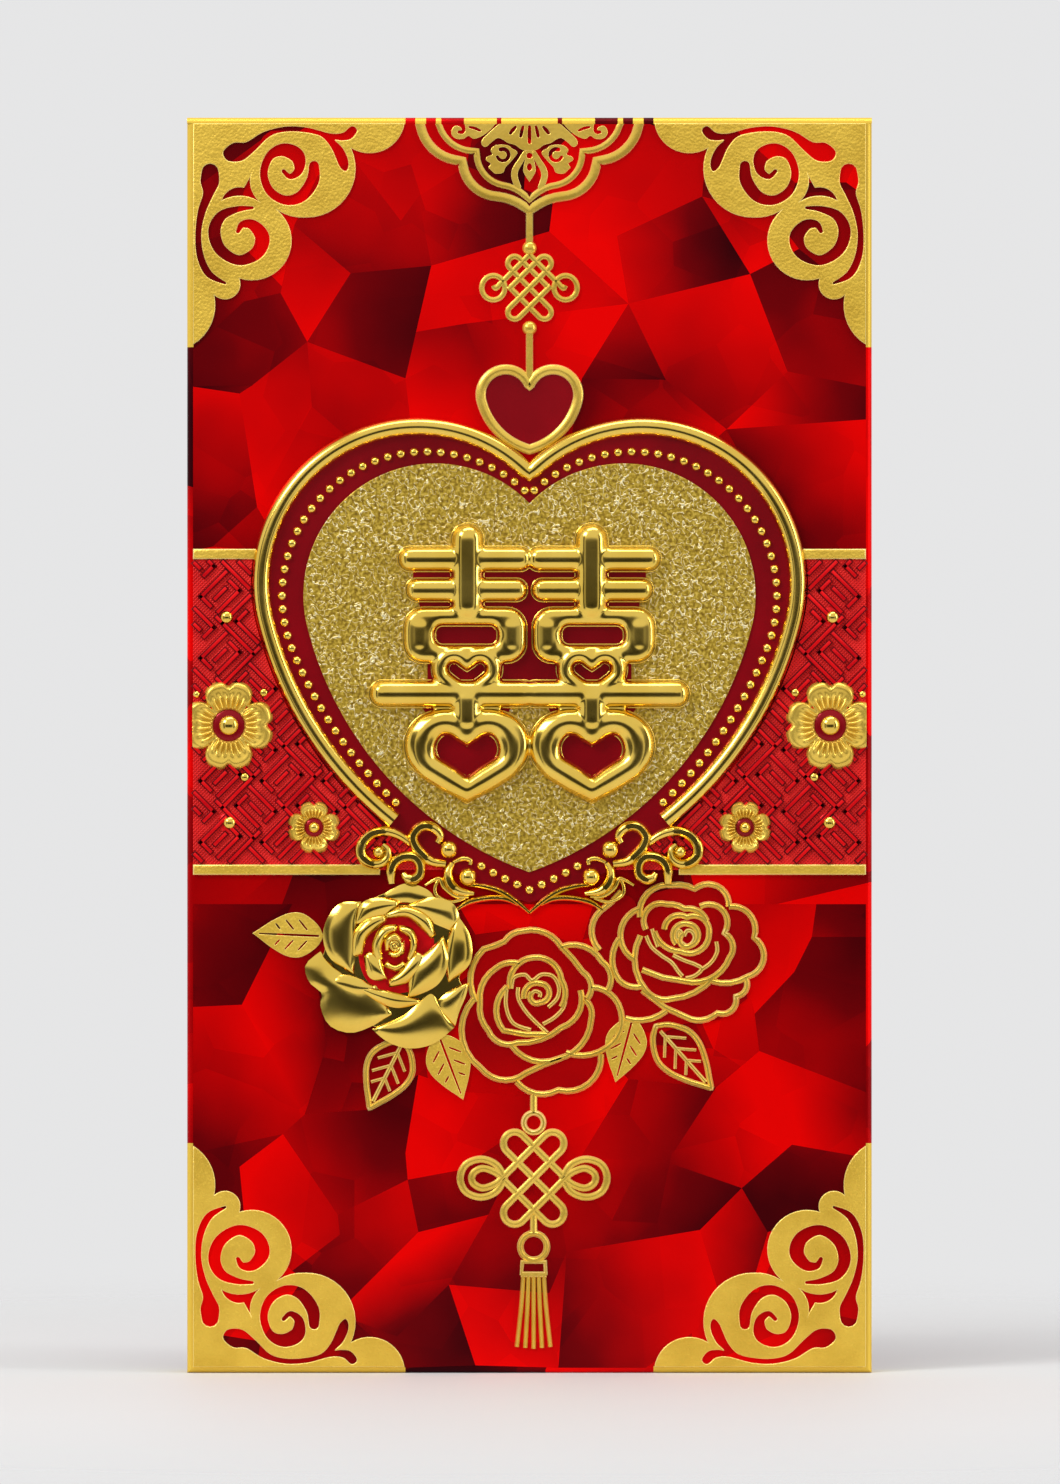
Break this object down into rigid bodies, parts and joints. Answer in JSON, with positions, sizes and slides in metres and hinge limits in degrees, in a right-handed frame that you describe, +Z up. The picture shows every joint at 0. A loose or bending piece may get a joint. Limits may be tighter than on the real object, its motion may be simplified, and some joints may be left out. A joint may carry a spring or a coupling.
{
  "type": "red envelope",
  "caption": "Tall red paper gift envelope for weddings with a folded pocket, a hinged top closure and raised gold foil ornament on its face.",
  "frame": {"origin": "middle of the bottom edge, on the face that the envelope stands on", "axes": "+Z up along the height, +X to the right seen from the decorated face, -Y out of the decorated face"},
  "size_m": [0.09, 0.0079, 0.165],
  "materials": {
    "red_film_card": "glossy red film with a faceted crystal pattern",
    "clear_glue": "clear",
    "dark_red_foil": "satin",
    "red_lattice_paper": "embossed diagonal lattice",
    "glitter_gold_foil": "crinkled sparkling foil",
    "polished_gold_foil": "polished",
    "satin_gold_foil": "satin"
  },
  "bodies": {
    "pocket": {"back_panel": "red_film_card", "band_left": "red_lattice_paper", "band_right": "red_lattice_paper", "band_studs": "polished_gold_foil", "big_blossom_left": "satin_gold_foil", "big_blossom_right": "satin_gold_foil", "blossom_bosses": "polished_gold_foil", "bottom_glue_tab": "red_film_card", "bottom_seam_glue": "clear_glue", "bottom_spine": "red_film_card", "bracket_beads": "polished_gold_foil", "corner_scrolls": "satin_gold_foil", "crown_medallion": "satin_gold_foil", "emblem_plaque": "dark_red_foil", "front_panel": "red_film_card", "heart_beads": "polished_gold_foil", "heart_field": "glitter_gold_foil", "heart_ground": "dark_red_foil", "heart_rim": "polished_gold_foil", "heart_swag": "polished_gold_foil", "knot_ring": "satin_gold_foil", "leaf_far_left": "satin_gold_foil", "leaf_lower_left": "satin_gold_foil", "leaf_lower_right": "satin_gold_foil", "leaf_mid_left": "satin_gold_foil", "leaf_mid_right": "satin_gold_foil", "left_spine": "red_film_card", "lid_crease": "red_film_card", "lower_knot": "satin_gold_foil", "lower_rail_left": "satin_gold_foil", "lower_rail_right": "satin_gold_foil", "lower_stems": "satin_gold_foil", "pendant_beads": "satin_gold_foil", "pendant_stems": "satin_gold_foil", "right_spine": "red_film_card", "rose_centre": "satin_gold_foil", "rose_ground_centre": "dark_red_foil", "rose_ground_right": "dark_red_foil", "rose_left": "polished_gold_foil", "rose_right": "satin_gold_foil", "scroll_bracket_left": "polished_gold_foil", "scroll_bracket_right": "polished_gold_foil", "side_glue_tab": "red_film_card", "side_seam_glue": "clear_glue", "small_blossom_left": "satin_gold_foil", "small_blossom_right": "satin_gold_foil", "small_heart": "satin_gold_foil", "small_studs": "polished_gold_foil", "tassel_cap": "satin_gold_foil", "tassel_ring": "satin_gold_foil", "tassel_strands": "satin_gold_foil", "upper_knot": "satin_gold_foil", "upper_rail_left": "satin_gold_foil", "upper_rail_right": "satin_gold_foil"},
    "lid": {"flap_crease": "red_film_card", "lid_strip": "red_film_card"},
    "flap": {"closing_flap": "red_film_card"}
  },
  "joints": [
    {"name": "lid_hinge", "type": "hinge", "parent": "pocket", "child": "lid", "pos_m": [0, -0.0021, 0.1642], "axis": [1, 0, 0], "range_deg": [0, 90], "deforming": ["lid_crease"]},
    {"name": "flap_hinge", "type": "hinge", "parent": "lid", "child": "flap", "pos_m": [0, 0.0027, 0.1642], "axis": [1, 0, 0], "range_deg": [0, 90], "deforming": ["flap_crease"]}
  ]
}
